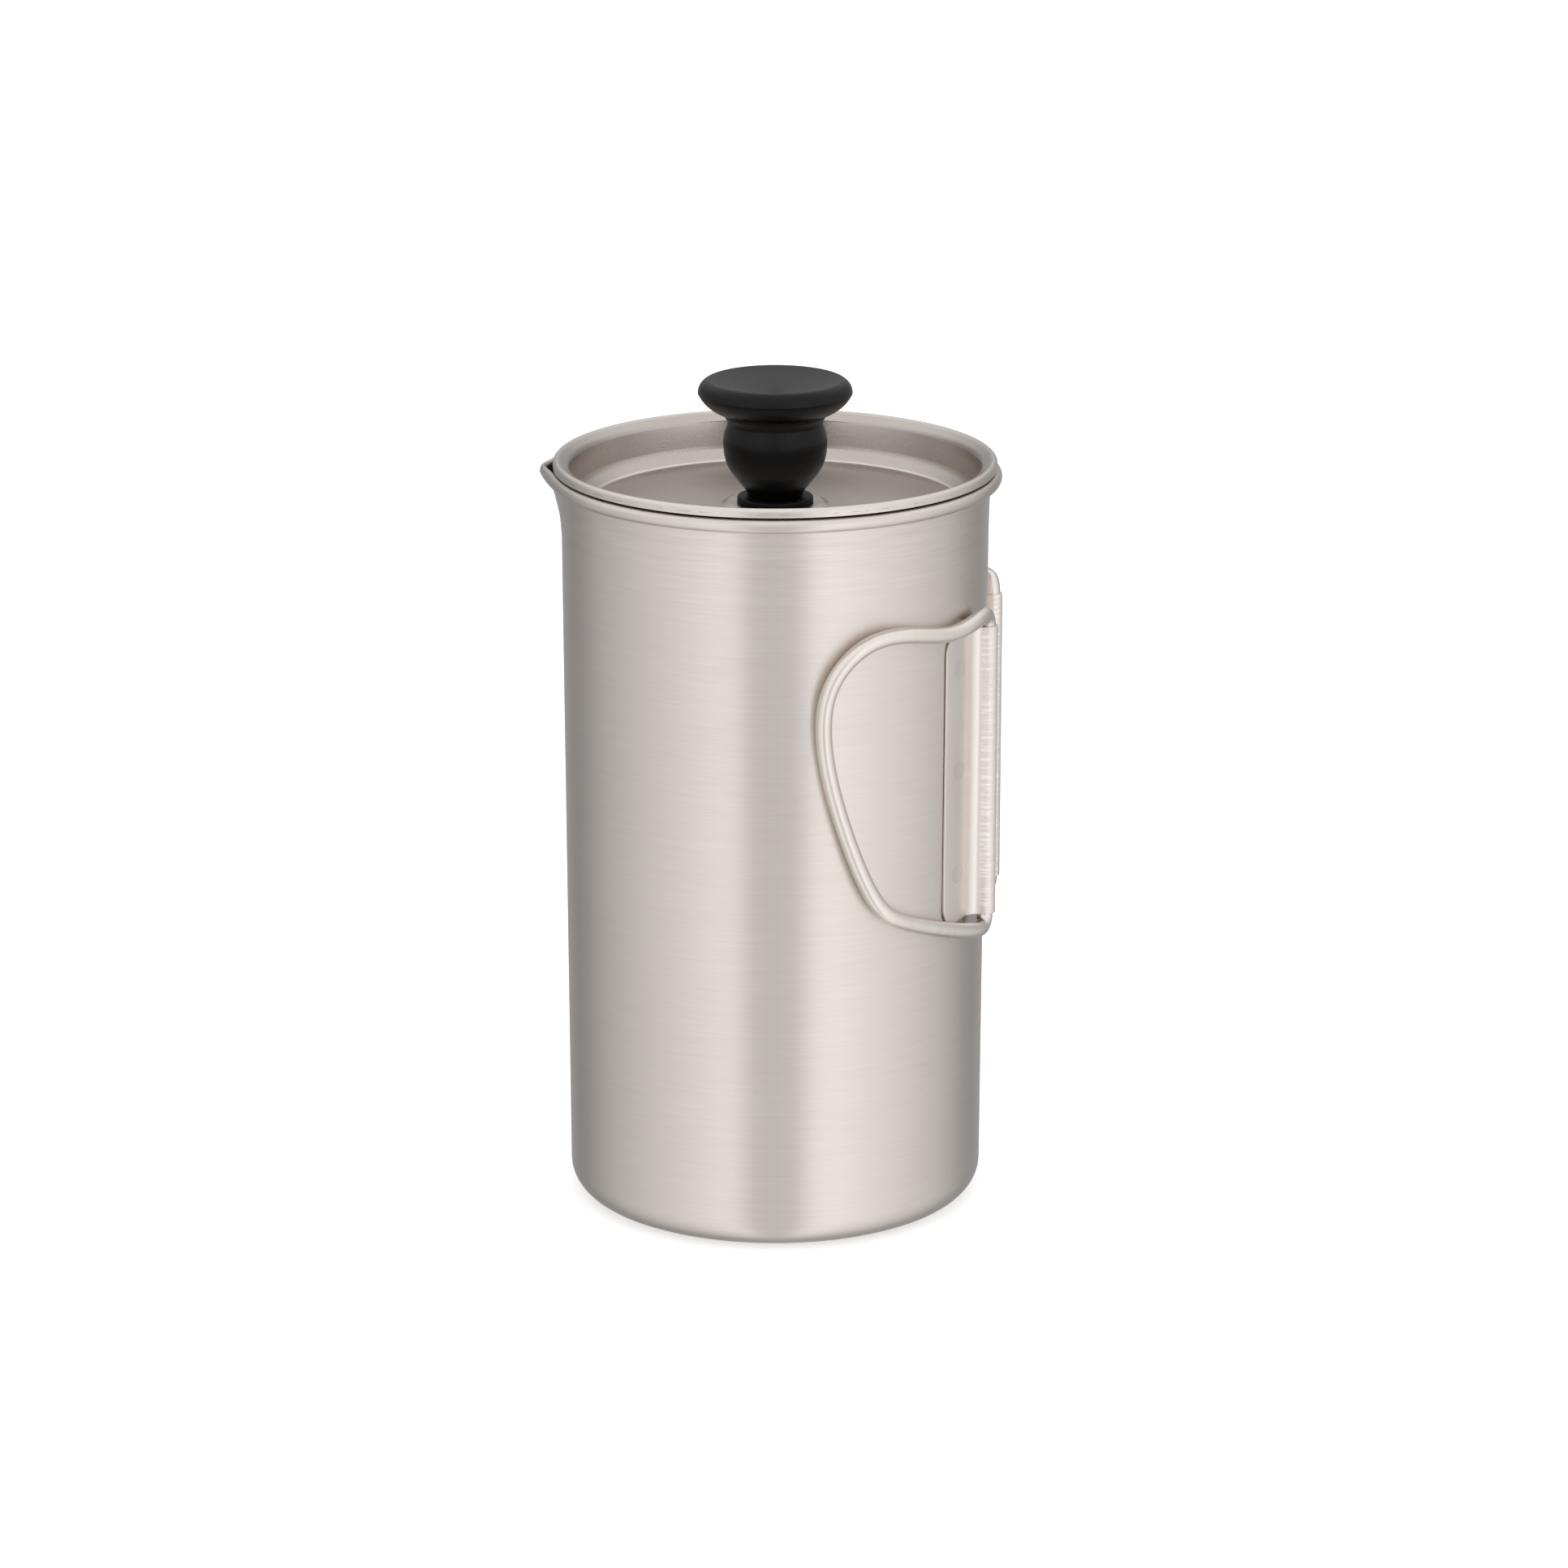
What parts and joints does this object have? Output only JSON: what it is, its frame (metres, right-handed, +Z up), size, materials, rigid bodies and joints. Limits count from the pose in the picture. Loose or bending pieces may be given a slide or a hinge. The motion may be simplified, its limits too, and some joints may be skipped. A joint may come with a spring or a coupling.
{
  "type": "french press",
  "caption": "Camping coffee press: a tall metal pot with a bead and spout, folding wire handles, a sunk lid and a black-knobbed plunger with a sprung mesh filter.",
  "frame": {"origin": "centre of the flat base on the surface the pot stands on", "axes": "+Z up, +X between the two handle hinges, -X along the pouring spout, Y across"},
  "size_m": [0.0918, 0.0898, 0.1676],
  "materials": {
    "titanium_pot": "fine horizontal brushing on spun titanium",
    "titanium_lid": "satin pressed titanium",
    "titanium_fittings": "smooth drawn titanium wire and rolled sheet",
    "black_plastic": "moulded, finely matt",
    "black_bush": "moulded, smooth",
    "brass_insert": "turned",
    "stainless_rod": "ground and polished",
    "stainless_plate": "stamped and tumbled",
    "stainless_mesh": "woven wire cloth",
    "stainless_spring": "bright drawn spring wire"
  },
  "bodies": {
    "pot": {"pot_shell": "titanium_pot", "hinge_plate_front": "titanium_fittings", "hinge_plate_rear": "titanium_fittings"},
    "handle_front": {"handle_wire_front": "titanium_fittings"},
    "handle_rear": {"handle_wire_rear": "titanium_fittings"},
    "lid": {"lid_pan": "titanium_lid"},
    "bush": {"guide_bush": "black_bush", "bush_lock_ring": "black_bush"},
    "plunger": {"knob": "black_plastic", "knob_insert": "brass_insert", "plunger_rod": "stainless_rod", "rod_collar": "stainless_plate", "spiral_plate": "stainless_plate", "edge_spring": "stainless_spring", "filter_mesh": "stainless_mesh", "cross_plate": "stainless_plate", "hub_nut": "stainless_rod"}
  },
  "joints": [
    {"name": "handle_front_fold", "type": "hinge", "parent": "pot", "child": "handle_front", "pos_m": [0.04281, -0.01268, 0.09215], "axis": [0, 0, 1], "range_deg": [0, 147]},
    {"name": "handle_rear_fold", "type": "hinge", "parent": "pot", "child": "handle_rear", "pos_m": [0.04281, 0.01268, 0.09215], "axis": [0, 0, -1], "range_deg": [0, 147]},
    {"name": "lid_lift", "type": "slide", "parent": "pot", "child": "lid", "axis": [0, 0, 1], "range_m": [0, 0.16]},
    {"name": "plunger_turn", "type": "hinge", "parent": "lid", "child": "bush", "pos_m": [0, 0, 0.143], "axis": [0, 0, 1], "continuous": true},
    {"name": "plunger_slide", "type": "slide", "parent": "bush", "child": "plunger", "axis": [0, 0, 1], "range_m": [0, 0.1278]}
  ]
}
